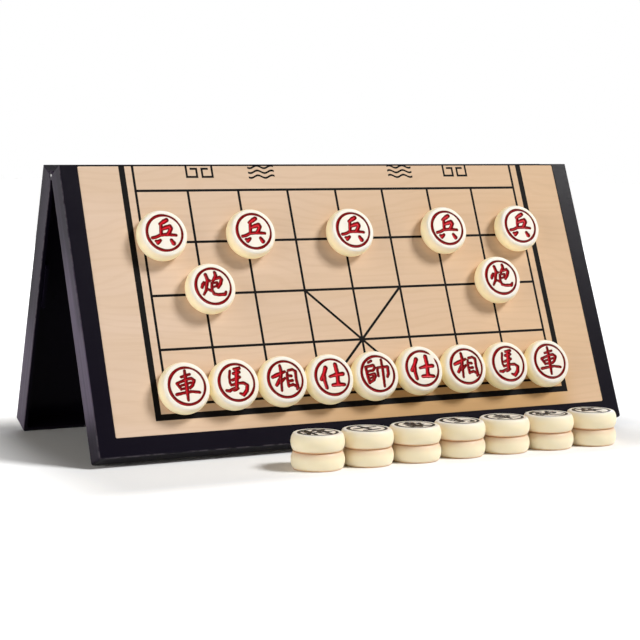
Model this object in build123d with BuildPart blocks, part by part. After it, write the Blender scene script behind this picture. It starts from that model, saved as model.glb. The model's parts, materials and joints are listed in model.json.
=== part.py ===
"""Travel xiangqi (Chinese chess) set with a folding board.

Two shallow black trays are hinged along one long edge, and the printed steel sheet on the
outside of each is half of the playing field. Closed, the trays make a flat box for the pieces;
opened flat they make the board; opened part way, as here, they stand on the table as a tent.
The red side is set out on the front leaf, held by a magnet in each piece, and the black side
stands on the table in front of it, in stacks of two, with the last two discs lying behind the row.

Millimetres. +X runs along the fold, +Y away from the player in front, +Z up. The origin is on
the table, below the middle of the whole arrangement's bounding box.
"""

import os
from math import cos, radians, sin, sqrt

from build123d import *

# The two leaves
leaf_width = 322.0
leaf_length = 160.0
leaf_depth = 14.8
tent_angle = 44.8
wall = 2.2
web = 1.8
corner_radius = 1.5
cavity_corner_radius = 2.0
face_edge_radius = 0.8
rim_edge_radius = 0.4

# Running gaps at the hinge line: between the rims when closed, and between the two fold
# faces when the board is open flat. Each leaf keeps one such gap from the hinge axis.
rim_gap = 0.08
fold_gap = 0.10

# Printed steel sheet let into the face of each leaf
frame_width = 10.1
fold_lip = 0.6
sheet_thickness = 0.5
sheet_inset = 0.3
sheet_clearance = 0.15
sheet_corner_radius = 0.8
lip_chamfer = 0.25

# Hinge at each end of the fold: two knuckles of the front leaf with one of the rear leaf between
barrel_radius = 2.7
barrel_clearance = 0.25
outer_knuckle = 8.0
middle_knuckle = 10.0
inner_knuckle = 8.0
knuckle_gap = 0.2
pin_radius = 1.0
pin_fixed_fit = 0.02
pin_running_fit = 0.05
pin_blind_end = 1.0
pin_chamfer = 0.2
hinge_block_depth = 7.0
hinge_block_height = 8.0
hinge_block_margin = 2.0

# Tongue inside each side wall of the rear leaf, which centres the leaves as they close
tongue_start = 53.5
tongue_length = 26.5
tongue_thickness = 1.6
tongue_height = 2.2
tongue_root = 8.0
tongue_gap = 0.3
tongue_step = 0.6
tongue_lead = 1.5

# Closure magnets: two bosses against the far wall of both trays, each side of the middle
latch_radius = 4.0
latch_thickness = 3.0
latch_recess = 0.2
latch_fit = 0.05
boss_wall = 1.5
boss_inset = 7.5
boss_drop = 0.2
latch_spread = 150.0

# Playing pieces: barrel-sided discs, each with a round magnet in its base
piece_diameter = 27.8
piece_height = 9.2
side_bulge = 1.4
piece_edge_radius = 1.2
magnet_radius = 5.0
magnet_thickness = 2.0
magnet_recess = 0.15
magnet_fit = 0.05
seat_gap = 0.05

# Printed field that the pieces are set out on: nine files, and five ranks on this leaf
files = 9
ranks = 5
field_side_margin = 41.0
bank_to_fold = 15.1
field_foot_margin = 25.8

# Shoulder-to-shoulder rows leave this much between neighbours
row_gap = 0.35
# Free table between the front leaf's lower edge and the last two discs
table_gap = 3.3
# How far a hand-laid row wanders off its line
row_wander = 1.5

# Red pieces by name: file, rank, and how far each was set down off its crossing,
# to the right and towards the near edge of the board
red_on_crossings = (
    ("soldier_1", 1, 4, 9.0, -2.2),
    ("soldier_2", 3, 4, 0.9, -2.1),
    ("soldier_3", 5, 4, 1.8, -1.7),
    ("soldier_4", 7, 4, 2.8, -1.7),
    ("soldier_5", 9, 4, -7.1, -2.0),
    ("cannon_left", 2, 3, 1.9, -1.3),
    ("cannon_right", 8, 3, 2.3, -0.3),
)
# The nine court pieces stand shoulder to shoulder, a little above the first rank:
# name, wander to the right, wander towards the near edge
red_court = (
    ("chariot_left", 0.1, 0.3),
    ("horse_left", 0.0, 0.0),
    ("elephant_left", 0.2, 0.0),
    ("advisor_left", 0.0, 0.4),
    ("general", -0.2, 0.2),
    ("advisor_right", 0.0, -1.2),
    ("elephant_right", 0.2, -0.8),
    ("horse_right", 0.0, -0.8),
    ("chariot_right", 0.1, -0.7),
)
court_above_rank = 7.4
# Middle of the court's row, to the right of the middle of the board
court_middle = 0.8

# Black stacks from the left: lower disc, upper disc, wander away from the front leaf
black_stacks = (
    ("soldier_2", "general", 0.5),
    ("advisor_right", "advisor_left", 0.8),
    ("elephant_right", "elephant_left", 1.0),
    ("horse_right", "horse_left", -0.7),
    ("chariot_right", "chariot_left", -1.2),
    ("cannon_right", "cannon_left", -0.7),
    ("soldier_3", "soldier_1", -0.4),
)
# Middle of the row of stacks, to the right of the middle of the board
stacks_middle = 24.9
# The last two black discs lie behind the row, each behind the gap after this stack
black_loose = (("soldier_4", 4), ("soldier_5", 5))

# Levels measured up from the hinge axis, square to a leaf
cavity_depth = leaf_depth - web - sheet_thickness - sheet_inset
cavity_width = leaf_width - 2 * wall
cavity_length = leaf_length - 2 * wall
rim_level = rim_gap
face_level = rim_gap + leaf_depth
pocket_level = face_level - sheet_thickness - sheet_inset
sheet_level = face_level - sheet_inset

# Distances down a leaf, measured from the hinge axis
far_edge = fold_gap + leaf_length
leaf_middle = fold_gap + leaf_length / 2
pocket_width = leaf_width - 2 * frame_width
pocket_length = leaf_length - frame_width - fold_lip
pocket_middle = fold_gap + fold_lip + pocket_length / 2
sheet_width = pocket_width - 2 * sheet_clearance
sheet_length = pocket_length - 2 * sheet_clearance

# Spacing of the field's crossings
middle_file = (files + 1) / 2
file_pitch = (leaf_width - 2 * field_side_margin) / (files - 1)
rank_pitch = (far_edge - bank_to_fold - field_foot_margin) / (ranks - 1)

# Where the tent stands. Both leaves lean in equally and rest on the rounded outer edge of the rim.
lean = radians(tent_angle / 2)
foot_run = far_edge - rim_edge_radius
foot_rise = rim_level + rim_edge_radius
hinge_height = foot_run * cos(lean) - foot_rise * sin(lean) + rim_edge_radius
foot_reach = foot_run * sin(lean) + foot_rise * cos(lean)
lower_edge_run = far_edge - face_edge_radius
lower_edge_rise = face_level - face_edge_radius
leaf_reach = lower_edge_run * sin(lean) + lower_edge_rise * cos(lean) + face_edge_radius

# The row of stacks and the two discs nested behind it
row_pitch = piece_diameter + row_gap
nest_distance = sqrt(row_pitch**2 - (row_pitch / 2) ** 2)
loose_reach = leaf_reach + table_gap + piece_diameter / 2
row_reach = loose_reach + nest_distance + row_wander
front_reach = row_reach + max(stack[2] for stack in black_stacks) + piece_diameter / 2

# The bounding box runs from the foremost stack to the rear leaf's lower edge
hinge_y = (front_reach - leaf_reach) / 2
hinge_point = (0, hinge_y, hinge_height)

# Each leaf's own plane lies on the hinge axis: x to the right as its face is seen,
# y up the leaf, z out through the printed face
front_leaf = Plane(origin=hinge_point, x_dir=(1, 0, 0), z_dir=(0, -cos(lean), sin(lean)))
rear_leaf = Plane(origin=hinge_point, x_dir=(-1, 0, 0), z_dir=(0, cos(lean), sin(lean)))
table = Plane.XY

# Hinge stations, measured out from the middle of the fold
side_face = leaf_width / 2
outer_start = side_face - outer_knuckle
middle_end = outer_start - knuckle_gap
middle_start = middle_end - middle_knuckle
inner_end = middle_start - knuckle_gap
inner_start = inner_end - inner_knuckle
pin_start = inner_start + pin_blind_end
front_knuckles = ((inner_start, inner_end), (outer_start, side_face))
rear_knuckles = ((middle_start, middle_end),)
front_notches = ((inner_end, outer_start),)
rear_notches = ((inner_start - knuckle_gap, middle_start), (middle_end, side_face))
block_start = inner_start - hinge_block_margin
block_middle = fold_gap + hinge_block_depth / 2
side_inner = side_face - wall
latch_x = latch_spread / 2
latch_run = far_edge - wall - boss_inset


def station(leaf, distance, end):
    """Plane across the hinge axis at a distance from the middle, facing out to that end (1 or -1).

    Its y runs out through the face of the leaf. Its x runs up the leaf at end 1 and down it at
    end -1, so a point down the leaf has x = -end * distance.
    """
    origin = leaf.from_local_coords(Vector(end * distance, 0, 0))
    return Plane(origin=origin, x_dir=leaf.y_dir * end, z_dir=leaf.x_dir * end)


def tray(leaf, knuckles, notches, pin_fit, has_tongues):
    """One leaf: an open tray, its rim towards the hinge axis and its closed face outwards."""
    up_the_leaf = Axis(leaf.origin, leaf.y_dir)
    through_the_face = Axis(leaf.origin, leaf.z_dir)
    rim = leaf.offset(rim_level)
    face = leaf.offset(face_level)

    with BuildPart() as shell:
        with BuildSketch(rim):
            with Locations((0, -leaf_middle)):
                Rectangle(leaf_width, leaf_length)
        extrude(amount=leaf_depth)
        far_corners = shell.edges().filter_by(through_the_face).sort_by(up_the_leaf)[:2]
        fillet(far_corners, corner_radius)
        # The face and the rim are rounded on three sides and left sharp along the fold
        face_outline = shell.faces().sort_by(through_the_face)[-1].edges()
        fillet(face_outline.sort_by(up_the_leaf)[:-1], face_edge_radius)
        rim_outline = shell.faces().sort_by(through_the_face)[0].edges()
        fillet(rim_outline.sort_by(up_the_leaf)[:-1], rim_edge_radius)

        with BuildSketch(rim):
            with Locations((0, -leaf_middle)):
                RectangleRounded(cavity_width, cavity_length, cavity_corner_radius)
        extrude(amount=cavity_depth, mode=Mode.SUBTRACT)

        # Pocket for the printed sheet, with a small chamfer round its lip
        with BuildSketch(face):
            with Locations((0, -pocket_middle)):
                RectangleRounded(pocket_width, pocket_length, sheet_corner_radius + sheet_clearance)
        extrude(amount=pocket_level - face_level, mode=Mode.SUBTRACT)
        frame_face = shell.faces().sort_by(through_the_face)[-1]
        chamfer(frame_face.inner_wires()[0].edges(), lip_chamfer)

        # Bosses that hold the closure magnets, just short of the rim
        with BuildSketch(leaf.offset(rim_level + boss_drop)):
            with Locations((latch_x, -latch_run), (-latch_x, -latch_run)):
                Circle(latch_radius + latch_fit + boss_wall)
        extrude(amount=cavity_depth - boss_drop)
        with BuildSketch(leaf.offset(rim_level + boss_drop)):
            with Locations((latch_x, -latch_run), (-latch_x, -latch_run)):
                Circle(latch_radius + latch_fit)
        extrude(amount=latch_recess + latch_thickness, mode=Mode.SUBTRACT)

        for end in (1, -1):
            # Solid block behind the fold wall, which backs the knuckles
            with BuildSketch(station(leaf, block_start, end)):
                with Locations((-end * block_middle, rim_level + hinge_block_height / 2)):
                    Rectangle(hinge_block_depth, hinge_block_height)
            extrude(amount=side_inner - block_start)
            for start, stop in notches:
                with BuildSketch(station(leaf, start, end)):
                    Circle(barrel_radius + barrel_clearance)
                extrude(amount=stop - start, mode=Mode.SUBTRACT)
            for start, stop in knuckles:
                with BuildSketch(station(leaf, start, end)):
                    Circle(barrel_radius)
                extrude(amount=stop - start)
            with BuildSketch(station(leaf, pin_start, end)):
                Circle(pin_radius + pin_fit)
            extrude(amount=side_face - pin_start, mode=Mode.SUBTRACT)

        if has_tongues:
            tongue_end = tongue_start + tongue_length
            tongue_middle = tongue_start + tongue_length / 2
            tongue_inner = side_inner - tongue_gap - tongue_thickness
            root_middle = rim_level + (tongue_step + tongue_root) / 2
            for end in (1, -1):
                # The root stops short of the rim; the tongue stands on it, off the wall
                with BuildSketch(station(leaf, tongue_inner, end)):
                    with BuildLine():
                        Polyline(
                            (-end * tongue_start, rim_level + tongue_root),
                            (-end * tongue_start, tongue_lead - tongue_height),
                            (-end * (tongue_start + tongue_lead), -tongue_height),
                            (-end * (tongue_end - tongue_lead), -tongue_height),
                            (-end * tongue_end, tongue_lead - tongue_height),
                            (-end * tongue_end, rim_level + tongue_root),
                            close=True,
                        )
                    make_face()
                extrude(amount=tongue_thickness)
                with BuildSketch(station(leaf, tongue_inner, end)):
                    with Locations((-end * tongue_middle, root_middle)):
                        Rectangle(tongue_length, tongue_root - tongue_step)
                extrude(amount=tongue_gap + tongue_thickness)
    return shell.part


def sheet(leaf):
    """Printed steel sheet lying in the pocket of a leaf."""
    with BuildPart() as plate:
        with BuildSketch(leaf.offset(pocket_level)):
            with Locations((0, -pocket_middle)):
                RectangleRounded(sheet_width, sheet_length, sheet_corner_radius)
        extrude(amount=sheet_thickness)
    return plate.part


def latch_magnets(leaf):
    """The two closure magnets of a leaf, at the bottom of their pockets."""
    with BuildPart() as magnets:
        with BuildSketch(leaf.offset(rim_level + boss_drop + latch_recess)):
            with Locations((latch_x, -latch_run), (-latch_x, -latch_run)):
                Circle(latch_radius)
        extrude(amount=latch_thickness)
    return magnets.part


def hinge_pin(end):
    """Steel pin, pushed in from the side face until it lies flush."""
    with BuildPart() as pin:
        with BuildSketch(station(front_leaf, pin_start, end)):
            Circle(pin_radius)
        extrude(amount=side_face - pin_start)
        chamfer(pin.edges(), pin_chamfer)
    return pin.part


def disc(seat):
    """Playing piece on the plane it lies on: a barrel turned about the plane's normal, with a
    blind pocket for its magnet in the base."""
    half_section = Plane(origin=seat.origin, x_dir=seat.x_dir, z_dir=-seat.y_dir)
    half_width = piece_diameter / 2
    end_radius = half_width - side_bulge
    half_height = piece_height / 2
    with BuildPart() as body:
        with BuildSketch(half_section) as profile:
            with BuildLine():
                Polyline((end_radius, piece_height), (0, piece_height), (0, 0), (end_radius, 0))
                ThreePointArc((end_radius, 0), (half_width, half_height), (end_radius, piece_height))
            make_face()
            fillet(profile.vertices().sort_by(Axis.X)[-2:], piece_edge_radius)
        revolve(axis=Axis(seat.origin, seat.z_dir))
        with BuildSketch(seat):
            Circle(magnet_radius + magnet_fit)
        extrude(amount=magnet_recess + magnet_thickness + magnet_fit, mode=Mode.SUBTRACT)
    return body.part


def disc_magnet(seat):
    """Round magnet glued into a playing piece's pocket, just short of its base."""
    with BuildPart() as magnet:
        with BuildSketch(seat.offset(magnet_recess)):
            Circle(magnet_radius)
        extrude(amount=magnet_thickness)
    return magnet.part


def disc_with_magnet(seat):
    """Disc and magnet as two solids of one part."""
    body = disc(seat)
    magnet = disc_magnet(seat)
    with BuildPart() as piece:
        add(body)
        add(magnet)
    return piece.part


def board_seat(across, down):
    """Plane on the front sheet, at a distance to the right and down from the middle of the fold."""
    origin = front_leaf.from_local_coords(Vector(across, -down, sheet_level + seat_gap))
    return Plane(origin=origin, x_dir=front_leaf.x_dir, z_dir=front_leaf.z_dir)


def table_seat(across, reach, storey):
    """Plane on the table, or on the disc below, at a distance in front of the hinge axis."""
    height = storey * (piece_height + seat_gap)
    return Plane(origin=(across, hinge_y - reach, height), x_dir=table.x_dir, z_dir=table.z_dir)


parts = {
    "front_tray": tray(front_leaf, front_knuckles, front_notches, pin_fixed_fit, False),
    "rear_tray": tray(rear_leaf, rear_knuckles, rear_notches, pin_running_fit, True),
    "front_board_sheet": sheet(front_leaf),
    "rear_board_sheet": sheet(rear_leaf),
    "front_closure_magnets": latch_magnets(front_leaf),
    "rear_closure_magnets": latch_magnets(rear_leaf),
    "hinge_pin_left": hinge_pin(-1),
    "hinge_pin_right": hinge_pin(1),
}

# Red pieces, each in two parts: the disc and its magnet
for name, file, rank, right, near in red_on_crossings:
    across = (file - middle_file) * file_pitch + right
    down = bank_to_fold + (ranks - rank) * rank_pitch + near
    seat = board_seat(across, down)
    parts["red_" + name] = disc(seat)
    parts["red_" + name + "_magnet"] = disc_magnet(seat)
first_rank = bank_to_fold + (ranks - 1) * rank_pitch
for place, (name, right, near) in enumerate(red_court, start=1):
    across = court_middle + (place - middle_file) * row_pitch + right
    seat = board_seat(across, first_rank - court_above_rank + near)
    parts["red_" + name] = disc(seat)
    parts["red_" + name + "_magnet"] = disc_magnet(seat)

# Black pieces, each disc and its magnet together in one part
black_seats = {}
row_middle = (len(black_stacks) - 1) / 2
for place, (lower, upper, wander) in enumerate(black_stacks):
    across = stacks_middle + (place - row_middle) * row_pitch
    black_seats[lower] = table_seat(across, row_reach + wander, 0)
    black_seats[upper] = table_seat(across, row_reach + wander, 1)
for name, after in black_loose:
    across = stacks_middle + (after - 0.5 - row_middle) * row_pitch
    black_seats[name] = table_seat(across, loose_reach, 0)
for name, seat in black_seats.items():
    parts["black_" + name] = disc_with_magnet(seat)

os.makedirs("parts", exist_ok=True)
for name, part in parts.items():
    part.label = name
    export_step(part, f"parts/{name}.step")

print("hinge axis at y", round(hinge_y, 3), "z", round(hinge_height, 3), "mm")
print("front reach", round(front_reach - hinge_y, 3), "leaf reach", round(leaf_reach, 3), "mm")
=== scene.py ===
"""Looks of the travel xiangqi set: a folding magnetic board standing as a tent, the red side set
out on its front leaf and the black side stacked on the table in front of it."""

import json
from math import cos, pi, radians, sin, sqrt, tau

import bpy
import numpy as np
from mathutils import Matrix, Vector

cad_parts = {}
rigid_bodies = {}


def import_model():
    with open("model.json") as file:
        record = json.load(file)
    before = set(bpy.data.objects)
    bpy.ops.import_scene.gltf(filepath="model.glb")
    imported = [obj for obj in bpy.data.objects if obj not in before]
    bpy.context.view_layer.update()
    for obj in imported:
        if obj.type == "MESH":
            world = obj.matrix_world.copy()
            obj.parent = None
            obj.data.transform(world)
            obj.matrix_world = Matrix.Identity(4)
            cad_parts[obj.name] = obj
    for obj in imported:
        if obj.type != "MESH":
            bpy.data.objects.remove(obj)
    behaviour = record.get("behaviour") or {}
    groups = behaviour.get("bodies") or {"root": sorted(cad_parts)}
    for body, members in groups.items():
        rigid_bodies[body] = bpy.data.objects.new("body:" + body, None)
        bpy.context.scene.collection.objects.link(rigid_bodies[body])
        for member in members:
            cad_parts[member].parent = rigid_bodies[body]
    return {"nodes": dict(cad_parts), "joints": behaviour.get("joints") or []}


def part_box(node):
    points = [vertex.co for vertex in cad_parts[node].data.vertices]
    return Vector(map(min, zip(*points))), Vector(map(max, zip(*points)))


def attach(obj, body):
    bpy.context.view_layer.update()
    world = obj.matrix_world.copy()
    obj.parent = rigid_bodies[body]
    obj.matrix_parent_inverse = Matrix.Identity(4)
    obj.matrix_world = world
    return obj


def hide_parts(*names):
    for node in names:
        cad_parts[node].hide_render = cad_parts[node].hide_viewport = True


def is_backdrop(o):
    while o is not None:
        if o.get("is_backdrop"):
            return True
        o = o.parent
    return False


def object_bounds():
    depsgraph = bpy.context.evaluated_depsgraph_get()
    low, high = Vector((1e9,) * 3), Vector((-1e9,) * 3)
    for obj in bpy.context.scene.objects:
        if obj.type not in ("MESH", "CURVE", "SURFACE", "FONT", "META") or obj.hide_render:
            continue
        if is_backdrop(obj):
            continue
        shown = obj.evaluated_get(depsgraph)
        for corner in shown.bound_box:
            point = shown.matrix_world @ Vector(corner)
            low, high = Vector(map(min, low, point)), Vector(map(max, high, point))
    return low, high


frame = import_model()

cad_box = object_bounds()

# The two trays: each leaf of the board is one injection moulding in black ABS, 322 x 160 x 14.8 mm.
# The face is satin, the end walls are worn lengthwise by years in and out of a bag and carry a painted sheen
# of reflected light, lighter lower down, and the inside is plain, with the round witness marks of the
# ejector pins. The fold's two knuckle blocks are part of it.
leaf_hinge = next(joint for joint in frame["joints"] if joint["name"] == "leaf_hinge")
fold_middle = leaf_hinge["pos_m"]
# The hinge shuts by the whole angle between the leaves, and each leaf leans by half of that
lean = radians(-leaf_hinge["range_deg"][0] / 2)
front, rear = -1, 1
# In mm from the middle of the fold: a leaf's end walls and its lower wall, and how far out the
# rounded edges of the face and of the rim lie
leaf_end, leaf_foot = 161.0, 160.1
face_round, rim_round = 14.6, 0.3
pin_mark_gap, pin_mark_radius, pin_mark_middle = 50.0, 4.0, 80.0


class Wire:
    """A value on its way through a material. Arithmetic on it adds the Math nodes for it."""

    def __init__(self, tree, socket=None):
        self.tree = tree
        self.socket = socket

    def add(self, kind, settings=None, inputs=None, output=0):
        """A new node of that kind, its settings made first, then its sockets set or wired."""
        node = self.tree.nodes.new(kind)
        for name, value in (settings or {}).items():
            setattr(node, name, value)
        for name, value in (inputs or {}).items():
            if isinstance(value, Wire):
                self.tree.links.new(value.socket, node.inputs[name])
            else:
                node.inputs[name].default_value = value
        return Wire(self.tree, node.outputs[output] if node.outputs else None)

    def maths(self, operation, *values):
        """A Math node with those values, which are wires or numbers, in its sockets."""
        return self.add("ShaderNodeMath", {"operation": operation}, dict(enumerate(values)))

    def __add__(self, other):
        return self.maths("ADD", self, other)

    def __radd__(self, other):
        return self.maths("ADD", other, self)

    def __sub__(self, other):
        return self.maths("SUBTRACT", self, other)

    def __rsub__(self, other):
        return self.maths("SUBTRACT", other, self)

    def __mul__(self, other):
        return self.maths("MULTIPLY", self, other)

    def __rmul__(self, other):
        return self.maths("MULTIPLY", other, self)

    def __truediv__(self, other):
        return self.maths("DIVIDE", self, other)

    def __abs__(self):
        return self.maths("ABSOLUTE", self)

    def __round__(self):
        return self.maths("ROUND", self)


def least(first, *others):
    """The smallest of several wires or numbers; the first is a wire."""
    for other in others:
        first = first.maths("MINIMUM", first, other)
    return first


def most(first, *others):
    """The largest of several wires or numbers; the first is a wire."""
    for other in others:
        first = first.maths("MAXIMUM", first, other)
    return first


def rise(value, low, high):
    """0 below low and 1 above high, with an S-shaped climb between. low may be above high."""
    settings = {"interpolation_type": "SMOOTHSTEP"}
    return value.add("ShaderNodeMapRange", settings, {"Value": value, "From Min": low, "From Max": high})


def paint(red, green, blue):
    """A colour as a paint chart gives it, 0 to 255, turned into the linear light that shaders take."""
    return tuple(((c / 255 + 0.055) / 1.055) ** 2.4 for c in (red, green, blue)) + (1.0,)


def mixed(share, plain, other):
    """Two colours laid over each other: all plain where share is 0, all other where it is 1. The Mix
    node takes colours at its sockets 6 and 7, and gives one at its output 2."""
    settings = {"data_type": "RGBA"}
    return share.add("ShaderNodeMix", settings, {0: share, 6: plain, 7: other}, 2)


def cloud(place, scale, detail=2.0, rough=0.5):
    """Soft random blotches, 0 to 1, about 1 / scale across in the units of place."""
    inputs = {"Vector": place, "Scale": scale, "Detail": detail, "Roughness": rough}
    return place.add("ShaderNodeTexNoise", {}, inputs)


def stretched(x, y, z):
    """A place built from wires or numbers, each already scaled, for noise that runs longer one way."""
    return x.add("ShaderNodeCombineXYZ", {}, {"X": x, "Y": y, "Z": z})


def leaf_places(place, side):
    """Across, down and out of a leaf in mm from the middle of the fold: the place on the object less
    that point, taken along the leaf's own three directions."""
    moved = place.add("ShaderNodeVectorMath", {"operation": "SUBTRACT"}, {0: place, 1: fold_middle})
    ways = ((-side, 0, 0), (0, side * sin(lean), -cos(lean)), (0, side * cos(lean), sin(lean)))
    found = []
    for way in ways:
        inputs = {0: moved, 1: [1000 * part for part in way]}
        found.append(place.add("ShaderNodeVectorMath", {"operation": "DOT_PRODUCT"}, inputs, 1))
    return found


def new_material(name):
    """An empty material and a wire at the place on the object."""
    material = bpy.data.materials.new(name)
    material.use_nodes = True
    material.node_tree.nodes.clear()
    start = Wire(material.node_tree)
    return material, start.add("ShaderNodeTexCoord", output=3)


def finished(place, inputs):
    """The surface itself: one Principled shader with those sockets, wired to the output."""
    shader = place.add("ShaderNodeBsdfPrincipled", {}, inputs)
    place.add("ShaderNodeOutputMaterial", {}, {"Surface": shader})


def bumped(height, depth, strength=1.0):
    """The normal of a surface that stands depth metres higher where height is 1 than where it is 0."""
    inputs = {"Height": height, "Distance": depth, "Strength": strength}
    return height.add("ShaderNodeBump", {}, inputs)


def root_of_squares(x, y):
    """The length of the line whose two sides are x and y, which are wires."""
    squares = x * x + y * y
    return squares.maths("SQRT", squares)


def near_every(value, step):
    """Distance from the nearest whole multiple of step, with its sign."""
    return value - round(value / step) * step


def dress(node, material):
    """Gives a CAD node its finish in place of the plain one that it came with."""
    slots = frame["nodes"][node].data.materials
    slots.clear()
    slots.append(material)


# The tray's colours: its black, the grey of the end walls, which is both rubbing and a painted sheen of
# reflected light, and the grey of worn corners
moulded_black, sheen_and_rubbed_grey, worn_grey = paint(14, 10, 22), paint(94, 84, 105), paint(96, 90, 98)


def tray_plastic(name, side):
    """Black ABS: near black on the face, and greyer on the outer walls, with lengthwise rubbing and a
    painted sheen of reflected light.
    """
    material, place = new_material(name)
    across, down, out = leaf_places(place, side)
    end_wall = rise(abs(across), leaf_end - 0.8, leaf_end - 0.1)
    lower_wall = rise(down, leaf_foot - 0.8, leaf_foot - 0.1)
    fold_face = rise(down, 0.6, 0.3)
    # The end walls: long thin streaks of rubbing that run down the leaf, over a painted sheen of reflected
    # light that is lighter lower down.
    # The front leaf's sheen sets in higher up and hardly reaches its foot, the rear one's lies only low
    # down, and both are weaker near the face
    streaks = cloud(stretched(across * 0.15, down * 0.012, out * 1.1), 1.0, 5.0, 0.65)
    starts, spared = (30.0, 0.85) if side == front else (78.0, 0.0)
    sheen_and_rubbing = 0.25 + 0.75 * rise(down, starts, starts + 42.0)
    sheen_and_rubbing = sheen_and_rubbing * (1.0 - spared * rise(down, 130.0, 148.0))
    sheen_and_rubbing = sheen_and_rubbing * (1.0 - 0.45 * rise(out, 6.0, 11.0) * rise(down, 98.0, 84.0))
    sheen_and_rubbing = sheen_and_rubbing * end_wall * (0.55 + 0.45 * rise(streaks, 0.25, 0.62))
    body = mixed(sheen_and_rubbing, moulded_black, sheen_and_rubbed_grey)
    # Worn corners: a hair of lighter plastic along the outer edges of the face and of the rim
    patches = cloud(place, 260.0, 4.0, 0.6)
    to_wall = least(leaf_end - abs(across), leaf_foot - down)
    to_level = least(abs(out - face_round), abs(out - rim_round))
    corner = rise(to_wall + to_level, 1.0, 0.25) * rise(patches, 0.38, 0.62)
    body = mixed(corner * 0.55, body, worn_grey)
    # Witness marks of the ejector pins: rings on the inner floor, which lies 12.3 mm out
    far_x = near_every(across, pin_mark_gap)
    far_y = near_every(down - pin_mark_middle, pin_mark_gap)
    inside = rise(out, 11.9, 12.15) * rise(out, 13.0, 12.6)
    mark = rise(abs(root_of_squares(far_x, far_y) - pin_mark_radius), 0.35, 0.1) * inside
    # Spark-eroded grain, coarse enough to soften the highlights
    grain = cloud(place, 2600.0, 2.0, 0.6)
    fine = cloud(place, 35.0, 3.0, 0.5)
    satin = 0.20 + 0.06 * fine + 0.03 * grain
    finished(place, {
        "Base Color": body,
        "Roughness": satin + 0.24 * end_wall + 0.10 * lower_wall + 0.45 * fold_face,
        "Normal": bumped(grain + 1.5 * mark + 0.6 * streaks * end_wall, 0.00006, 0.6),
        "Specular IOR Level": 0.10,
    })
    return material


for side, leaf in ((front, "front"), (rear, "rear")):
    dress(leaf + "_tray", tray_plastic(leaf + "_tray_plastic", side))

# The hinge pins: two lengths of bright drawn steel wire, 2 mm thick, pushed in from the ends of the
# fold until they lie flush. Only the cropped and lightly chamfered ends show.
steel, place = new_material("drawn_steel_wire")
x, y, z = [place.add("ShaderNodeSeparateXYZ", {}, {0: place}, axis) for axis in range(3)]
drawn = cloud(stretched(x * 60.0, y * 9000.0, z * 9000.0), 1.0, 3.0, 0.6)
facing = cloud(stretched(x * 2000.0, y * 12000.0, z * 900.0), 1.0, 2.0, 0.5)
finished(place, {
    "Base Color": mixed(drawn, paint(176, 175, 178), paint(222, 221, 220)),
    "Metallic": 1.0,
    "Roughness": 0.22 + 0.2 * facing,
    "Normal": bumped(facing + drawn, 0.00001, 0.5),
})
for end in ("left", "right"):
    dress("hinge_pin_" + end, steel)

# The magnets: nickel-plated discs, 8 mm at the far walls of the trays, which hold the box shut, and
# 10 mm in the base of each playing piece. The plating is bright, with grey handling marks.
nickel, place = new_material("nickel_plate")
scuffs = cloud(place, 900.0, 4.0, 0.7)
tarnish = cloud(place, 160.0, 3.0, 0.6)
finished(place, {
    "Base Color": mixed(rise(tarnish, 0.35, 0.7), paint(214, 211, 205), paint(178, 172, 163)),
    "Metallic": 1.0,
    "Roughness": 0.16 + 0.22 * rise(scuffs, 0.4, 0.75),
    "Normal": bumped(scuffs, 0.00002, 0.4),
})
for node in frame["nodes"]:
    if node.endswith(("_magnet", "_closure_magnets")):
        dress(node, nickel)

# The printed sheets: half a millimetre of steel, so that the pieces hold, glued into a pocket in
# the face of each leaf. The print is pale matt wood with the black lines of half the playing field:
# nine files 30 mm apart, five ranks 29.8 mm apart, the palace, a thick border, and the river's bank.
file_gap, rank_gap, bank = 30.0, 29.8, 15.1
line_half = 0.72
field_middle = bank + 2 * rank_gap
palace_middle = bank + 3 * rank_gap
border_side, border_foot, border_half = 126.2, 140.8, 1.7
# The river's ornament, in blocks: their middles, and the straight strokes of a key fret's hook, each
# from one point to another, across from its block's middle and down from the fold
fret_middle, fret_half = 81.4, 0.62
fret_hooks = ((7.6, -9.0, 7.6, 7.2), (1.6, 7.2, 7.6, 7.2), (1.6, 2.4, 1.6, 7.2), (1.6, 2.4, 4.8, 2.4))
water_middle, water_half, water_reach, water_depth = 44.2, 0.6, 8.0, 8.6
wave_gap, first_wave, wave_height, wave_rate = 2.9, 1.4, 0.75, 0.72
print_black, bare_steel = paint(14, 12, 12), paint(150, 150, 152)
# The wood's tones; the tone for the right is painted warm light
wood_pale, wood_warm, wood_right_painted_warm = paint(219, 194, 173), paint(215, 189, 165), paint(222, 187, 149)
wood_dark_streak, wood_light_streak = paint(200, 170, 140), paint(230, 209, 185)
wood_arc, wood_pore, wood_shaded = paint(196, 164, 132), paint(188, 158, 128), paint(194, 155, 104)
# The painted shade on the margin at the foot: where it sets in and where it is full, going down, in from the
# left and in from the right
shade_down, shade_left, shade_right = (119.0, 134.0), (-135.0, 40.0), (138.0, 116.0)


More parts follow.
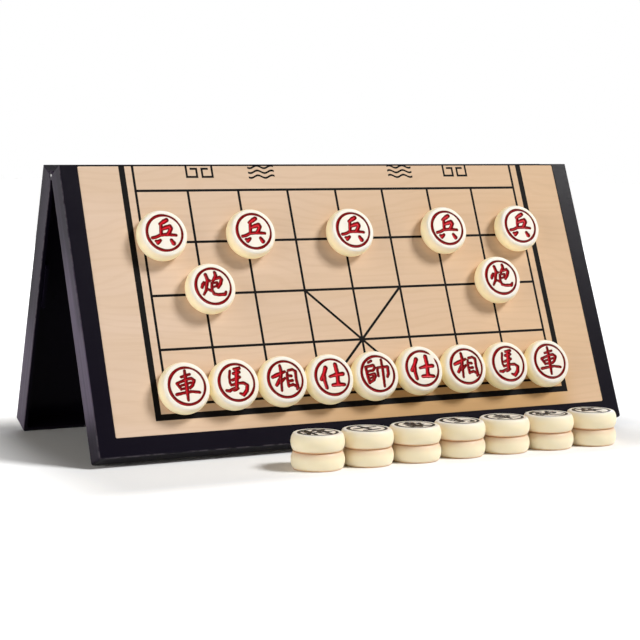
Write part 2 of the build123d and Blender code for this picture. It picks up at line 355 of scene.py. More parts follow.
def board_print(name, side):
    """The print on one sheet. Each line is a distance in mm, below nothing inside the ink."""
    material, place = new_material(name)
    across, down, out = leaf_places(place, side)
    wide = abs(across)
    in_field = abs(down - field_middle) - (2 * rank_gap + line_half)
    files = most(abs(near_every(across, file_gap)) - line_half, wide - 3.5 * file_gap, in_field)
    edge_files = most(abs(wide - 4 * file_gap) - line_half, down - (bank + 4 * rank_gap + line_half))
    ranks = abs(near_every(down - bank, rank_gap)) - line_half
    ranks = most(ranks, wide - (4 * file_gap + line_half), in_field)
    tall = abs(down - palace_middle)
    slant = sqrt(file_gap**2 + rank_gap**2)
    diagonals = abs(wide * (rank_gap / slant) - tall * (file_gap / slant)) - line_half
    diagonals = most(diagonals, wide - file_gap, tall - rank_gap)
    border = abs(most(wide - border_side, down - border_foot)) - border_half
    # The river's ornament, cut through by the fold: a pair of key frets in each outer block, and
    # flowing water in each inner one
    fret_x = abs(wide - fret_middle)
    frets = []
    for x0, y0, x1, y1 in fret_hooks:
        away_x = most(x0 - fret_x, fret_x - x1, 0.0)
        away_y = most(y0 - down, down - y1, 0.0)
        frets.append(most(away_x, away_y) - fret_half)
    water_x = wide - water_middle
    swing = (water_x * wave_rate).maths("SINE", water_x * wave_rate)
    waves = abs(near_every(down + wave_height * swing - first_wave, wave_gap)) - water_half
    water = most(waves, abs(water_x) - water_reach, down - water_depth)
    inked = rise(least(files, edge_files, ranks, diagonals, border, water, *frets), 0.09, -0.09)

    # Wood figure that runs along the fold: broad bands, streaks and short fine pores
    bands = cloud(stretched(across * 0.006, down * 0.05, 0.0), 1.0, 3.0, 0.5)
    streaks = cloud(stretched(across * 0.012, down * 0.55, 4.0), 1.0, 5.0, 0.62)
    pores = cloud(stretched(across * 0.10, down * 3.2, 9.0), 1.0, 3.0, 0.6)
    wood = mixed(rise(bands, 0.3, 0.7), wood_pale, wood_warm)
    # Painted light: the wood is painted warmer towards the right, where the warm key light falls
    wood = mixed(0.7 * rise(across, -150.0, 190.0), wood, wood_right_painted_warm)
    wood = mixed(0.22 * rise(streaks, 0.50, 0.78), wood, wood_dark_streak)
    wood = mixed(0.22 * rise(streaks, 0.46, 0.22), wood, wood_light_streak)
    # The arcs of a flat-sawn board: fine lines that follow the contours of a slow drift
    drift = cloud(stretched(across * 0.009, down * 0.02, 2.0), 1.0, 2.0, 0.5)
    contour = down * 1.2 + drift * 56.0
    wood = mixed(0.12 * rise(contour.maths("SINE", contour), 0.1, 1.0), wood, wood_arc)
    wood = mixed(0.20 * rise(pores, 0.60, 0.80), wood, wood_pore)
    # Painted shade: the margin at the foot is painted darker where the row of pieces keeps the light off it
    if side == front:
        shaded = 0.8 * rise(down, *shade_down) * rise(across, *shade_left)
        wood = mixed(shaded * rise(across, *shade_right), wood, wood_shaded)
    # The cut edge and the back of the sheet are bare steel
    bare = rise(out, 14.50, 14.44)
    grain = cloud(place, 1500.0, 2.0, 0.5)
    finished(place, {
        "Base Color": mixed(bare, mixed(inked, wood, print_black), bare_steel),
        "Roughness": 0.62 + 0.08 * streaks - 0.10 * inked,
        "Metallic": bare,
        "Normal": bumped(0.4 * pores + 0.4 * grain - 0.4 * inked, 0.00004, 0.35),
        "Specular IOR Level": 0.06,
    })
    return material


for side, leaf in ((front, "front"), (rear, "rear")):
    dress(leaf + "_board_sheet", board_print(leaf + "_board_print", side))

# The red pieces: sixteen barrel-sided discs turned from ivory-coloured plastic, 27.8 mm across and
# 9.2 mm thick. A ring and the piece's sign are cut into the top with a V cutter and filled with red
# enamel. The signs are the seven that every xiangqi set has. The magnet lies in a pocket underneath.
disc_half, disc_thick, bulge, edge_round = 13.9, 9.2, 1.4, 1.2
pocket_round, pocket_deep = 5.05, 2.2
# The ring's outer radius, how much it thins towards one side, and the depth of the V for its width
ring_outside, ring_swing, thin_side, cutter_slope = 10.7, 0.16, 3.5, 0.9
# Where the cutter lost its hold on one ring: the angle, and how far round from there
worn_middle, worn_reach = 0.75, 0.2
# How far the cutter swells a stroke, half the ring's width, and the deepest cut
red_cutting = (0.65, 0.78, 0.75)
# How far the wobble's phase moves on from one piece to the next, in radians
phase_step = 1.7
# Where the painted amber shade sets in, in shares of the way down the side: from here, and full so much
# further down. Under another piece it is also painted from the top to here, at this strength
amber_start, amber_climb, lip_reach, lip_strength = 0.69, 0.15, 0.42, 0.75
# Quads across the square grid that fills a top
top_steps = 88

# Brush strokes of each sign in mm from the disc's centre: across, up, and half the stroke's width
bag_of_cannon = [
    [(2.1, 7.7, 0.35), (2.4, 6.0, 0.45), (1.4, 4.3, 0.45), (0.2, 3.0, 0.2)],
    [(1.2, 4.0, 0.25), (4.6, 4.9, 0.35), (5.4, 3.6, 0.45), (4.4, 1.2, 0.45), (2.8, -0.7, 0.3)],
    [(0.1, 1.8, 0.05), (2.6, 2.1, 0.15), (2.1, 0.1, 0.1), (0.1, -0.4, 0.05)],
    [(-0.5, 1.5, 0.25), (-0.9, -1.8, 0.3), (-0.1, -4.2, 0.35), (2.2, -4.8, 0.35), (6.2, -4.7, 0.4),
     (6.9, -3.4, 0.15)],
]
chariot = [
    [(-2.3, 5.1, 0.15), (2.7, 6.2, 0.15)],
    [(-5.1, 1.8, 0.35), (-3.4, -1.3, 0.25)],
    [(-5.1, 2.0, 0.2), (-2.3, 2.8, 0.2), (0.4, 3.7, 0.3), (3.2, 3.9, 0.3), (4.6, 2.6, 0.35),
     (3.2, 0.1, 0.3), (1.6, -1.1, 0.2)],
    [(-2.9, 0.6, 0.1), (2.7, 1.7, 0.1)],
    [(-3.4, -1.3, 0.1), (2.1, -0.8, 0.15)],
    [(-6.4, -3.9, 0.3), (-2.9, -3.5, 0.25), (2.1, -3.1, 0.2), (6.4, -3.9, 0.25)],
    [(0.2, 8.3, 0.2), (0.1, 4.5, 0.4), (-0.2, -2.0, 0.5), (-0.6, -7.5, 0.15)],
]
horse = [
    [(-2.8, 6.4, 0.15), (-3.6, 3.1, 0.15), (-3.7, 0.0, 0.15), (-3.2, -1.3, 0.2)],
    [(-0.3, 7.2, 0.3), (2.8, 7.7, 0.35)],
    [(-1.0, 4.9, 0.3), (2.4, 5.6, 0.35)],
    [(-2.0, 1.4, 0.25), (2.2, 2.8, 0.3)],
    [(1.2, 7.2, 0.5), (0.8, 4.0, 0.7), (0.2, 0.5, 0.6), (-0.2, -2.6, 0.5)],
    [(-3.2, -1.3, 0.2), (1.1, -0.5, 0.2), (4.1, -0.5, 0.3), (6.0, -1.9, 0.4), (5.2, -4.7, 0.55),
     (3.1, -6.9, 0.5), (1.2, -6.1, 0.1)],
    [(-6.2, -4.1, 0.25), (-4.6, -4.4, 0.35), (-2.6, -3.3, 0.15), (0.2, -2.5, 0.15)],
    [(-2.0, -4.1, 0.3), (-0.8, -3.8, 0.3), (0.6, -3.2, 0.1)],
]
red_signs = {
    "soldier": [
        [(2.3, 7.3, 0.6), (0.6, 6.4, 0.75), (-1.8, 5.0, 0.35)],
        [(-1.2, 5.0, 0.35), (-1.5, 2.4, 0.5), (-2.0, -0.6, 0.4)],
        [(-1.2, 2.2, 0.3), (1.2, 3.0, 0.7), (3.6, 3.7, 0.6), (4.1, 2.6, 0.6), (3.0, 0.6, 0.55),
         (1.6, -0.8, 0.35)],
        [(-7.1, -2.6, 0.35), (-5.0, -2.2, 0.35), (-2.4, -1.1, 0.35), (1.0, -0.9, 0.4), (4.6, -1.2, 0.3),
         (6.4, -1.4, 0.25)],
        [(-2.9, -4.1, 0.3), (-4.2, -5.0, 0.65), (-4.7, -5.7, 0.35)],
        [(-5.4, -4.5, 0.25), (-4.2, -4.8, 0.5)],
        [(3.4, -4.2, 0.45), (4.3, -5.9, 0.8)],
    ],
    "cannon": [
        [(-4.9, 2.2, 0.3), (-5.8, 1.0, 0.45), (-6.4, -0.4, 0.3)],
        [(-3.4, 6.7, 0.4), (-2.6, 3.7, 0.5), (-3.7, 0.3, 0.4), (-4.2, -1.9, 0.3), (-5.9, -4.4, 0.1)],
        [(-2.6, 2.9, 0.2), (-1.5, 3.2, 0.25)],
        [(-3.7, -1.3, 0.1), (-1.2, -2.6, 0.3)],
    ] + bag_of_cannon,
    "chariot": chariot,
    "horse": horse,
    "elephant": [
        [(-2.1, 7.6, 0.3), (-1.8, 4.8, 0.45), (-2.3, 0.9, 0.3), (-2.9, -6.1, 0.15)],
        [(-7.2, 1.5, 0.4), (-4.5, 2.5, 0.65), (0.3, 4.3, 0.15)],
        [(-2.9, 0.9, 0.25), (-4.6, -1.9, 0.5), (-5.5, -3.0, 0.4)],
        [(-0.2, 0.6, 0.15), (-2.1, -1.1, 0.2)],
        [(1.6, 3.4, 0.2), (1.3, 0.9, 0.3), (1.5, -3.8, 0.3)],
        [(2.4, 4.8, 0.2), (4.9, 5.3, 0.2), (6.6, 4.2, 0.3), (6.4, -0.2, 0.25), (6.8, -4.7, 0.35),
         (6.1, -5.6, 0.15)],
        [(1.6, 2.0, 0.2), (3.8, 1.7, 0.25)],
        [(1.6, -1.1, 0.2), (4.1, -0.8, 0.25)],
        [(1.6, -3.7, 0.25), (4.3, -3.0, 0.25), (5.9, -4.2, 0.2)],
    ],
    "advisor": [
        [(-3.1, 5.3, 0.75), (-4.4, 2.4, 0.6), (-6.5, -0.8, 0.65)],
        [(-4.4, 0.9, 0.4), (-4.8, -1.9, 0.55), (-4.2, -5.7, 0.5)],
        [(3.0, 6.8, 0.7), (3.4, 2.0, 0.7), (3.1, -1.9, 0.6)],
        [(-1.4, 0.3, 0.2), (2.4, 1.2, 0.6), (6.7, 1.4, 0.6)],
        [(-0.4, -4.5, 0.45), (3.2, -4.3, 0.7), (6.6, -4.6, 0.4)],
        [(3.0, -1.5, 0.5), (3.1, -3.6, 0.9)],
    ],
    "general": [
        [(-4.7, 6.6, 0.15), (-2.7, 7.5, 0.2)],
        [(-6.7, 4.1, 0.3), (-6.4, -0.2, 0.4), (-5.9, -4.7, 0.35)],
        [(-6.3, 4.3, 0.2), (-1.9, 4.9, 0.35), (-1.2, 3.7, 0.25), (-2.3, 2.1, 0.2), (-5.7, 1.6, 0.15)],
        [(-5.9, -0.5, 0.15), (-1.9, 0.1, 0.3), (-1.7, -1.3, 0.3), (-2.9, -3.3, 0.3), (-5.9, -4.7, 0.25)],
        [(-5.1, -2.4, 0.05), (-3.0, -1.6, 0.05)],
        [(0.2, 3.3, 0.2), (0.2, -1.2, 0.25)],
        [(0.3, 3.4, 0.15), (3.8, 3.7, 0.2), (6.8, 3.6, 0.35), (6.6, -0.2, 0.4), (5.7, -1.9, 0.25)],
        [(3.5, 7.7, 0.2), (3.5, 0.9, 0.3), (2.9, -7.3, 0.2)],
    ],
}


def inside_strokes(x, y, strokes, swell):
    """How deep each point lies inside the brush strokes, in mm, less than nothing outside: along
    every straight run of a stroke, the half-width there, swollen by the cutter, less the distance to
    the run's line. The largest over all runs counts."""
    deepest = np.full(x.shape, -disc_half)
    for stroke in strokes:
        for (x0, y0, half0), (x1, y1, half1) in zip(stroke, stroke[1:]):
            run_x, run_y = x1 - x0, y1 - y0
            along = ((x - x0) * run_x + (y - y0) * run_y) / (run_x**2 + run_y**2)
            along = np.clip(along, 0, 1)
            away = np.hypot(x - x0 - along * run_x, y - y0 - along * run_y)
            deepest = np.maximum(deepest, swell + half0 + along * (half1 - half0) - away)
    return deepest


def round_grid(steps, reach):
    """A square grid bent to fill a round top evenly: each ring of the square becomes a circle, so a
    point's distance from the centre is its larger coordinate, and its angle follows the smaller."""
    line_up = np.linspace(-1, 1, steps + 1)
    s, t = np.meshgrid(line_up, line_up, indexing="ij")
    flat = np.abs(s) >= np.abs(t)
    radius = np.where(flat, s, t)
    safe = np.where(radius == 0, 1, radius)
    angle = np.where(flat, pi / 4 * t / safe, pi / 2 - pi / 4 * s / safe)
    return radius * np.cos(angle) * reach, radius * np.sin(angle) * reach


def arc(middle, radius, start, stop, steps):
    """Points round part of a circle in a half-section, with angles in radians from the outward way."""
    angle = np.linspace(start, stop, steps)
    return np.column_stack([middle[0] + radius * np.cos(angle), middle[1] + radius * np.sin(angle)])


# The half-section: a barrel side with both its edges rounded, then the base and the magnet's pocket
side_radius = ((disc_thick / 2) ** 2 + bulge**2) / (2 * bulge)
side_middle = (disc_half - side_radius, disc_thick / 2)
round_up = disc_thick / 2 - edge_round
flat_reach = side_middle[0] + sqrt((side_radius - edge_round) ** 2 - round_up**2)
meet = np.arcsin(round_up / (side_radius - edge_round))
half_section = np.vstack([
    arc((flat_reach, disc_thick - edge_round), edge_round, pi / 2, meet, 7)[1:],
    arc(side_middle, side_radius, meet, -meet, 12)[1:],
    arc((flat_reach, edge_round), edge_round, -meet, -pi / 2, 6)[1:],
    [(pocket_round, 0.0), (pocket_round, pocket_deep)],
])


def carved_disc(name, seat, ways, strokes, cutting, phase, buried, shallow):
    """One playing piece. The top is the round grid, lowered by the cutter's V inside a stroke. A
    hand-held cutter wobbles, in two waves round the ring and a slight ripple across the sign. The
    rest is the half-section swept round the axis, one column of points under each edge point. ways
    are its right, its up and its axis."""
    swell, ring_half, deepest = cutting
    x, y = round_grid(top_steps, flat_reach)
    angle = np.arctan2(y, x)
    wobble = 0.05 * np.sin(3 * angle + phase) + 0.04 * np.sin(7 * angle - 2 * phase)
    worn = shallow * np.exp(-(((angle - worn_middle) / worn_reach) ** 2))
    half = ring_half + ring_swing * np.cos(angle - thin_side)
    ring = half + wobble - worn - np.abs(np.hypot(x, y) - (ring_outside - half))
    sign = inside_strokes(x, y, strokes, swell) + 0.05 * np.sin(2.3 * x + phase) * np.sin(2.9 * y - phase)
    cut = np.maximum(ring, sign)
    z = disc_thick - np.minimum(cutter_slope * np.maximum(cut, 0), deepest)

    n = top_steps
    number = np.arange((n + 1) ** 2).reshape(n + 1, n + 1)
    rim = np.concatenate([number[n, :-1], number[:0:-1, n], number[0, :0:-1], number[:-1, 0]])
    turn = (np.arange(4 * n) / n - 0.5) * pi / 2
    swept_x = half_section[:, :1] * np.cos(turn)
    swept_y = half_section[:, :1] * np.sin(turn)
    swept_z = np.repeat(half_section[:, 1:], 4 * n, axis=1)
    local = np.column_stack([
        np.concatenate([x.ravel(), swept_x.ravel(), [0.0]]),
        np.concatenate([y.ravel(), swept_y.ravel(), [0.0]]),
        np.concatenate([z.ravel(), swept_z.ravel(), [pocket_deep]]),
    ])
    points = np.array(seat) + 0.001 * local @ np.array(ways)

    rings = [rim] + [(n + 1) ** 2 + row * 4 * n + np.arange(4 * n) for row in range(len(half_section))]
    corners = [number[:-1, :-1], number[1:, :-1], number[1:, 1:], number[:-1, 1:]]
    quads = [np.stack(corners, -1).reshape(-1, 4)]
    for upper, lower in zip(rings, rings[1:]):
        quads.append(np.stack([upper, lower, np.roll(lower, -1), np.roll(upper, -1)], -1))
    last = rings[-1]
    pole = np.stack([last, np.full(4 * n, len(local) - 1), np.roll(last, -1)], -1)
    mesh = bpy.data.meshes.new(name)
    mesh.from_pydata(points.tolist(), [], np.concatenate(quads).tolist() + pole.tolist())
    mesh.shade_smooth()

    # For the material: how deep the cutter went, how far down the side a point is, from 0 at the top
    # to 1 at the base, and how much painted amber shade it gets there, in the dark round its base and on
    # an edge under another piece
    girth = np.linspace(0, 1, len(half_section) - 1)
    girth = np.repeat(np.append(girth, [1.0])[:, None], 4 * n, axis=1).ravel()
    amber = np.clip((girth - amber_start) / amber_climb, 0, 1)
    if buried:
        amber = np.maximum(amber, lip_strength * np.clip(1 - girth / lip_reach, 0, 1))
    level, uncut = np.zeros((n + 1) ** 2), -3.0
    facts = {
        "cut": np.concatenate([cut.ravel(), np.full(len(girth) + 1, uncut)]),
        "girth": np.concatenate([level, girth, [1.0]]),
        "amber": np.concatenate([level, amber, [1.0]]),
    }
    for fact, values in facts.items():
        mesh.attributes.new(fact, "FLOAT", "POINT").data.foreach_set("value", values.astype(np.float32))
    # The pocket keeps its sharp corners
    ends = np.empty(2 * len(mesh.edges), np.int32)
    mesh.edges.foreach_get("vertices", ends)
    row = (ends.reshape(-1, 2) - (n + 1) ** 2) // (4 * n)
    sharp = (row[:, 0] == row[:, 1]) & (row[:, 0] >= len(half_section) - 2)
    mesh.attributes.new("sharp_edge", "BOOLEAN", "EDGE").data.foreach_set("value", sharp)
    return mesh


# The ivory: on top, down the sides, where it is partly its own warmer tone and partly painted warmth, and in
# blotches
ivory_top, ivory_side, ivory_blotch = paint(241, 236, 227), paint(253, 237, 207), paint(242, 230, 196)
# The amber is painted shade for the dark round a base and under another piece; the grime is what hands leave
# in the lip of a cut
amber_painted_shade, hand_grime = paint(214, 138, 36), paint(206, 170, 140)
# The colour of the sides' painted glow, which stands for light coming through the plastic
no_glow, light_through = paint(0, 0, 0), paint(255, 238, 150)


def piece_plastic(name, ink_edge_shade, ink_lit, glow, gloss):
    """Ivory plastic, warmer down its sides, partly its own tone and partly painted warmth, with a painted
    glow there for the light that comes through it and painted amber shade in the dark; and enamel in the
    cuts with painted shade: darker at the edge of a stroke, where the cut's walls lie in shade, brighter on
    its floor."""
    material, place = new_material(name)
    cut, girth, amber = [
        place.add("ShaderNodeAttribute", {"attribute_name": fact}, output=2)
        for fact in ("cut", "girth", "amber")
    ]
    blotch = cloud(place, 130.0, 3.0, 0.55)
    fine = cloud(place, 1400.0, 3.0, 0.6)
    # White on top and warmer down the side: partly the plastic's own tone, partly painted warmth for the
    # light that comes through it
    body = mixed(rise(girth, 0.0, 0.45), ivory_top, ivory_side)
    body = mixed(0.22 * rise(blotch, 0.42, 0.72), body, ivory_blotch)
    # Painted amber shade, in the dark round the base and on an edge under another piece
    body = mixed(0.92 * amber, body, amber_painted_shade)
    # Grime that hands rub into the lip of each cut
    lip = rise(cut, -0.22, -0.02) * rise(fine, 0.35, 0.6)
    body = mixed(0.4 * lip, body, hand_grime)
    normal = bumped(0.5 * fine + 0.5 * blotch, 0.00003, 0.4)
    ivory = place.add("ShaderNodeBsdfPrincipled", {}, {
        "Base Color": body,
        "Roughness": 0.30 + 0.10 * blotch + 0.05 * fine,
        "Normal": normal,
        "Specular IOR Level": 0.3,
        "Subsurface Weight": 0.5,
        "Subsurface Radius": (1.0, 0.9, 0.7),
        "Subsurface Scale": 0.006,
        # A painted glow down the sides, for the light that comes through the plastic
        "Emission Color": mixed(rise(girth, 0.05, 0.5), no_glow, light_through),
        "Emission Strength": glow,
    })
    # The enamel carries painted shade: darker at the edge of a stroke, where the cut's walls lie in shade,
    # brighter on its floor
    enamel = place.add("ShaderNodeBsdfPrincipled", {}, {
        "Base Color": mixed(rise(cut + 0.16 * fine, 0.62, 1.15), ink_edge_shade, ink_lit),
        "Roughness": 0.26 + 0.08 * fine,
        "Normal": normal,
        "Specular IOR Level": gloss,
    })
    inked = rise(cut, -0.03, 0.06)
    filled = inked.add("ShaderNodeMixShader", {}, {0: inked, 1: ivory, 2: enamel})
    place.add("ShaderNodeOutputMaterial", {}, {"Surface": filled})
    return material


def set_piece(node, lying, sign, cutting, degrees, material, buried=False, shallow=0.0):
    """Carves one piece where its CAD disc lies, turned by degrees about its axis, and lets it ride on
    that piece's body. Each one's cutter wobbles in its own phase."""
    low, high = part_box(node)
    right, up, axis = [Vector(way) for way in lying]
    seat = (low + high) / 2 - axis * (disc_thick / 2000)
    turned = cos(radians(degrees)) * right + sin(radians(degrees)) * up
    ways = turned, axis.cross(turned), axis
    phase = phase_step * len(bpy.data.objects)
    mesh = carved_disc(node + "_carved", seat, ways, sign, cutting, phase, buried, shallow)
    mesh.materials.append(material)
    piece = bpy.data.objects.new(node + "_carved", mesh)
    bpy.context.scene.collection.objects.link(piece)
    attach(piece, node + "_piece")
    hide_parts(node)


# Red enamel: its colour with painted shade at a stroke's edge and its colour on the floor, then the strength
# of the sides' painted glow and the enamel's gloss
red_plastic = piece_plastic("ivory_plastic_red_enamel", paint(118, 2, 5), paint(216, 10, 36), 0.13, 0.14)
up_the_board = ((1, 0, 0), (0, sin(lean), cos(lean)), (0, -cos(lean), sin(lean)))
# How far each piece was turned as it was set down, in degrees
red_pieces = {
    "soldier_1": 0.0, "soldier_2": 1.0, "soldier_3": -1.0, "soldier_4": 0.5, "soldier_5": -1.5,
    "cannon_left": 0.0, "cannon_right": -1.5, "chariot_left": 2.0, "horse_left": 0.0,
    "elephant_left": -1.0, "advisor_left": 0.0, "general": 0.0, "advisor_right": -2.0,
    "elephant_right": -1.0, "horse_right": 0.0, "chariot_right": 1.0,
}
for name, degrees in red_pieces.items():
    sign = red_signs[name.split("_")[0]]
    # One piece's ring was cut too shallow at one place
    shallow = 0.75 if name == "advisor_right" else 0.0
    set_piece("red_" + name, up_the_board, sign, red_cutting, degrees, red_plastic, shallow=shallow)

# The black pieces: the same sixteen discs, cut by the same tools and filled nearly flush with
# black-brown enamel. They stand on the table in stacks of two, with two more lying behind the row.
# Each has its magnet, a 10 mm disc 2 mm thick, glued a hair short of the base.
magnet_half, magnet_low, magnet_high, magnet_bevel = 5.0, 0.15, 2.15, 0.2
black_cutting = (0.68, 0.88, 0.20)
black_signs = {
    "soldier": [
        [(0.2, 7.7, 0.45), (0.6, 6.3, 0.65)],
        [(-5.6, 5.0, 0.4), (0.0, 5.4, 0.55), (5.6, 5.7, 0.4)],
        [(-2.2, 5.0, 0.4), (-3.1, 2.9, 0.5), (-5.2, 0.6, 0.25)],
        [(-2.6, 3.0, 0.35), (-1.3, 1.3, 0.5)],
        [(2.6, 5.1, 0.4), (1.6, 3.0, 0.5), (-0.2, 1.0, 0.25)],
        [(2.0, 3.1, 0.35), (4.0, 1.2, 0.6)],
        [(-6.6, -1.0, 0.45), (0.0, -0.5, 0.65), (6.7, -0.1, 0.45)],
        [(0.1, 1.2, 0.5), (0.1, -3.0, 0.6), (0.1, -7.7, 0.3)],
    ],
    "cannon": [
        [(-7.2, 4.9, 0.4), (-4.6, 5.3, 0.5), (-2.2, 5.6, 0.4)],
        [(-4.6, 5.2, 0.45), (-5.3, 2.0, 0.5), (-7.2, -1.4, 0.25)],
        [(-5.7, 0.9, 0.4), (-5.6, -1.8, 0.5), (-5.3, -4.3, 0.4)],
        [(-5.6, 0.9, 0.4), (-2.4, 1.3, 0.5), (-2.6, -1.4, 0.5), (-2.9, -3.8, 0.4)],
        [(-5.2, -3.5, 0.4), (-2.8, -3.2, 0.4)],
    ] + bag_of_cannon,
    "chariot": chariot,
    "horse": horse,
    "elephant": [
        [(-0.6, 7.6, 0.5), (-2.2, 5.6, 0.5), (-4.2, 4.1, 0.25)],
        [(-1.2, 6.2, 0.4), (1.6, 6.5, 0.55), (0.4, 4.9, 0.4)],
        [(-4.2, 3.6, 0.45), (-3.9, 2.2, 0.45), (-3.5, 0.9, 0.4)],
        [(-4.1, 3.7, 0.4), (0.2, 4.1, 0.45), (4.4, 4.5, 0.55), (4.0, 2.6, 0.45), (3.4, 1.2, 0.4)],
        [(-3.5, 1.1, 0.4), (0.0, 1.2, 0.45), (3.6, 1.4, 0.4)],
        [(0.3, 4.4, 0.4), (0.1, 2.6, 0.45), (-0.2, 1.2, 0.4)],
        [(-0.2, 1.2, 0.4), (-2.4, -0.7, 0.5), (-5.6, -2.0, 0.25)],
        [(-0.9, -0.3, 0.4), (0.9, -2.2, 0.55), (0.9, -5.2, 0.6), (0.0, -7.2, 0.5), (-1.8, -6.4, 0.25)],
        [(0.3, -1.7, 0.4), (-2.2, -3.2, 0.45), (-5.0, -4.2, 0.25)],
        [(0.9, -3.4, 0.4), (-1.6, -5.2, 0.45), (-4.8, -6.4, 0.25)],
        [(4.6, 0.1, 0.4), (3.0, -1.2, 0.45), (1.5, -1.9, 0.3)],
        [(1.3, -2.3, 0.35), (3.6, -4.4, 0.6), (6.6, -5.6, 0.75)],
    ],
    "advisor": [
        [(-6.4, 1.6, 0.5), (0.0, 2.3, 0.7), (6.4, 2.7, 0.5)],
        [(0.0, 7.4, 0.65), (0.1, 1.5, 0.7), (0.0, -4.6, 0.6)],
        [(-4.4, -4.9, 0.55), (0.0, -4.7, 0.7), (4.6, -4.3, 0.5)],
    ],
    "general": [
        [(-4.0, 7.2, 0.5), (-3.8, 0.0, 0.6), (-3.6, -7.0, 0.35)],
        [(-6.6, 5.6, 0.45), (-6.2, 3.4, 0.5), (-6.0, 1.6, 0.4)],
        [(-6.1, 1.7, 0.4), (-4.0, 2.0, 0.45)],
        [(-6.9, -1.0, 0.4), (-4.0, -0.6, 0.5)],
        [(-5.7, -0.9, 0.45), (-6.2, -3.4, 0.45), (-7.0, -5.6, 0.25)],
        [(1.2, 7.4, 0.5), (-0.2, 4.9, 0.5), (-2.0, 2.9, 0.25)],
        [(0.4, 5.7, 0.4), (3.0, 6.1, 0.5), (5.4, 6.2, 0.55), (3.4, 3.4, 0.5), (0.4, 0.8, 0.25)],
        [(1.0, 4.2, 0.35), (1.9, 3.3, 0.5)],
        [(2.6, 4.6, 0.35), (3.4, 3.9, 0.4)],
        [(-1.9, -0.9, 0.4), (2.6, -0.3, 0.55), (7.0, 0.1, 0.45)],
        [(4.3, 2.0, 0.5), (4.2, -2.5, 0.6), (4.2, -6.6, 0.55), (2.6, -6.0, 0.25)],
        [(0.4, -2.6, 0.4), (1.4, -4.0, 0.65)],
    ],
}


def magnet_shell(name, seat, axis):
    """A closed round shell: a short profile, bevelled at both corners, swept round the axis between
    two poles."""
    count, bevelled = 64, magnet_half - magnet_bevel
    section = np.array([
        (bevelled, magnet_high), (magnet_half, magnet_high - magnet_bevel),
        (magnet_half, magnet_low + magnet_bevel), (bevelled, magnet_low),
    ])
    turn = np.arange(count) * tau / count
    local = np.column_stack([
        np.concatenate([(section[:, :1] * np.cos(turn)).ravel(), [0.0, 0.0]]),
        np.concatenate([(section[:, :1] * np.sin(turn)).ravel(), [0.0, 0.0]]),
        np.concatenate([np.repeat(section[:, 1:], count, axis=1).ravel(), [magnet_high, magnet_low]]),
    ])
    points = np.array(seat) + 0.001 * local @ np.array([(1, 0, 0), np.cross(axis, (1, 0, 0)), axis])
    ring = np.arange(4 * count).reshape(4, count)
    top, base = np.full(count, 4 * count), np.full(count, 4 * count + 1)
    faces = np.stack([top, ring[0], np.roll(ring[0], -1)], -1).tolist()
    for upper, lower in zip(ring, ring[1:]):
        faces += np.stack([upper, lower, np.roll(lower, -1), np.roll(upper, -1)], -1).tolist()
    faces += np.stack([base, np.roll(ring[3], -1), ring[3]], -1).tolist()
    mesh = bpy.data.meshes.new(name)
    mesh.from_pydata(points.tolist(), [], faces)
    return mesh


# Black-brown enamel: its colour with painted shade at a stroke's edge and on the floor, a faint painted glow
# on the sides, and hardly any gloss
black_plastic = piece_plastic("ivory_plastic_black_enamel", paint(14, 5, 4), paint(30, 9, 8), 0.01, 0.02)
on_the_table = ((1, 0, 0), (0, 1, 0), (0, 0, 1))
# How far each piece was turned as it was stacked, in degrees
black_pieces = {
    "general": -4.0, "advisor_left": 6.0, "elephant_left": -3.0, "horse_left": 10.0,
    "chariot_left": 4.0, "cannon_left": -8.0, "soldier_1": 5.0, "soldier_2": 12.0,
    "advisor_right": -7.0, "elephant_right": 9.0, "horse_right": -12.0, "chariot_right": 3.0,
    "cannon_right": 15.0, "soldier_3": -6.0, "soldier_4": 20.0, "soldier_5": -14.0,
}
# The lower piece of each stack, whose upper edge lies in the dark and gets painted amber shade
under_another = {
    "soldier_2", "advisor_right", "elephant_right", "horse_right", "chariot_right", "cannon_right",
    "soldier_3",
}
for name, degrees in black_pieces.items():
    node = "black_" + name
    sign = black_signs[name.split("_")[0]]
    set_piece(node, on_the_table, sign, black_cutting, degrees, black_plastic, name in under_another)
    low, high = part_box(node)
    seat = Vector(((low.x + high.x) / 2, (low.y + high.y) / 2, low.z))
    shell = magnet_shell(node + "_magnet", seat, on_the_table[2])
    shell.materials.append(nickel)
    magnet = bpy.data.objects.new(node + "_magnet", shell)
    bpy.context.scene.collection.objects.link(magnet)
    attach(magnet, node + "_piece")

# The table: not part of the set. A white floor that reads as the white page, and keeps the shadow.
# Clear of the tent the camera also sees a little light from it, which fades in over 5 cm. The tent's
# end, rear edge and front edge are given in m from the middle.
tent_side, tent_back, tent_front = 0.161, 0.104, -0.098


def kinds_of_ray(wire):
    """Three wires, 1 on a ray from the camera, off something glossy, and through something clear."""
    outputs = wire.add("ShaderNodeLightPath").socket.node.outputs
    kinds = ("Is Camera Ray", "Is Glossy Ray", "Is Transmission Ray")
    return [Wire(wire.tree, outputs[kind]) for kind in kinds]


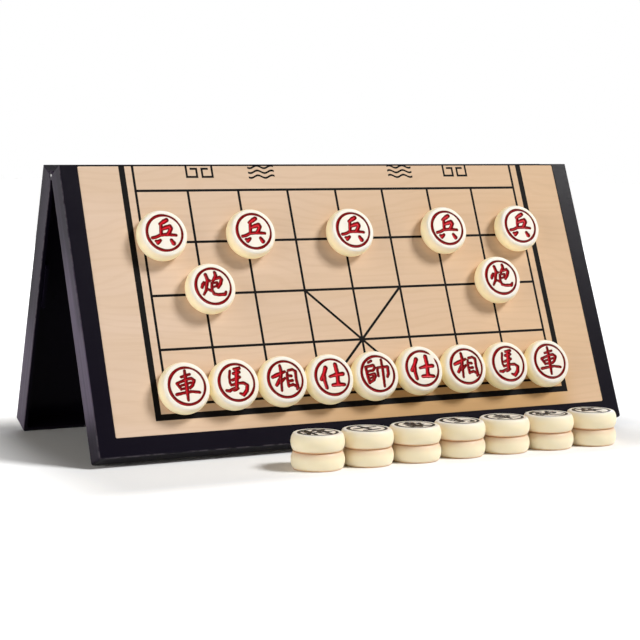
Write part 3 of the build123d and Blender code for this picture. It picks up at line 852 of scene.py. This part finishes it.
floor_mesh = bpy.data.meshes.new("table_top")
floor_mesh.from_pydata([(-6, -4, 0), (6, -4, 0), (6, 12, 0), (-6, 12, 0)], [], [(0, 1, 2, 3)])
floor = bpy.data.objects.new("table_top", floor_mesh)
bpy.context.scene.collection.objects.link(floor)
white, place = new_material("white_table")
seen, mirrored, through = kinds_of_ray(place)
matt_white = mixed(cloud(place, 30.0), paint(243, 245, 249), paint(246, 248, 251))
matt = place.add("ShaderNodeBsdfDiffuse", {}, {"Color": matt_white})
x, y = [place.add("ShaderNodeSeparateXYZ", {}, {0: place}, axis) for axis in range(2)]
beside = most(abs(x) - tent_side, 0.0)
beyond = most(0.7 * (y - tent_back), 1.7 * (tent_front - y), 0.0)
clear_of_tent = rise(root_of_squares(beside, beyond), 0.0, 0.05)
shine = most(seen, through) * 0.34 * clear_of_tent + mirrored * 0.05
glow = place.add("ShaderNodeEmission", {}, {"Color": (1, 1, 1, 1), "Strength": shine})
both = place.add("ShaderNodeAddShader", {}, {0: matt, 1: glow})
place.add("ShaderNodeOutputMaterial", {}, {"Surface": both})
floor_mesh.materials.append(white)
floor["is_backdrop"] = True

# The light: one broad key high on the right, as wide as a large soft box seen from the table, a
# soft warm fill low on the left, a soft box high behind for the rear leaf, and pale air all round,
# whose upper part is unlit for reflections, as the dark ceiling of a studio is.


def lamp(name, kind, energy, colour, towards, place=(0, 0, 0)):
    """A lamp at place, shining back along the direction towards. Its data is handed back."""
    light = bpy.data.lights.new(name, kind)
    light.energy = energy
    light.color = colour
    holder = bpy.data.objects.new(name, light)
    holder.location = place
    holder.rotation_euler = Vector(towards).to_track_quat("Z", "Y").to_euler()
    bpy.context.scene.collection.objects.link(holder)
    return light


lamp("key", "SUN", 3.05, (1, 0.985, 0.955), (0.585, -0.415, 0.698)).angle = radians(17.0)
lamp("fill", "AREA", 19.0, (1, 0.96, 0.89), (-1.72, -0.50, 0.25), (-1.72, -0.50, 0.30)).size = 1.2
lamp("back", "AREA", 20.0, (1, 1, 1), (0.80, 1.70, 0.93), (0.80, 1.70, 1.00)).size = 1.4

air = bpy.data.worlds.new("pale_air")
bpy.context.scene.world = air
air.use_nodes = True
air.node_tree.nodes.clear()
air.cycles.sampling_method = "NONE"
sky = Wire(air.node_tree)
way = sky.add("ShaderNodeTexCoord", output=0)
height = way.add("ShaderNodeSeparateXYZ", {}, {0: way}, 2)
seen, mirrored, through = kinds_of_ray(sky)
wall = 0.06 + 0.94 * rise(height, 0.42, 0.22)
pale = most(seen, through)
strength = pale + (1.0 - pale) * (mirrored * wall + (1.0 - mirrored) * 0.07)
colour = mixed(most(pale, mirrored), paint(255, 240, 220), (1, 1, 1, 1))
backdrop = sky.add("ShaderNodeBackground", {}, {"Color": colour, "Strength": strength})
sky.add("ShaderNodeOutputWorld", {}, {"Surface": backdrop})

# The camera: a little above the table, in front of the board and to its left, with a long lens.
camera = bpy.data.objects.new("camera", bpy.data.cameras.new("camera"))
camera.data.lens = 94.95
camera.data.sensor_width = 36.0
camera.data.clip_start = 0.01
camera.location = (-0.4345, -0.8502, 0.1571)
camera.rotation_euler = Vector((0.441, 0.8921, -0.0955)).to_track_quat("-Z", "Y").to_euler()
bpy.context.scene.collection.objects.link(camera)
bpy.context.scene.camera = camera
bpy.context.scene.view_settings.view_transform = "Standard"

sizes = {"cad": [list(corner) for corner in cad_box], "visual": [list(corner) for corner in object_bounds()]}
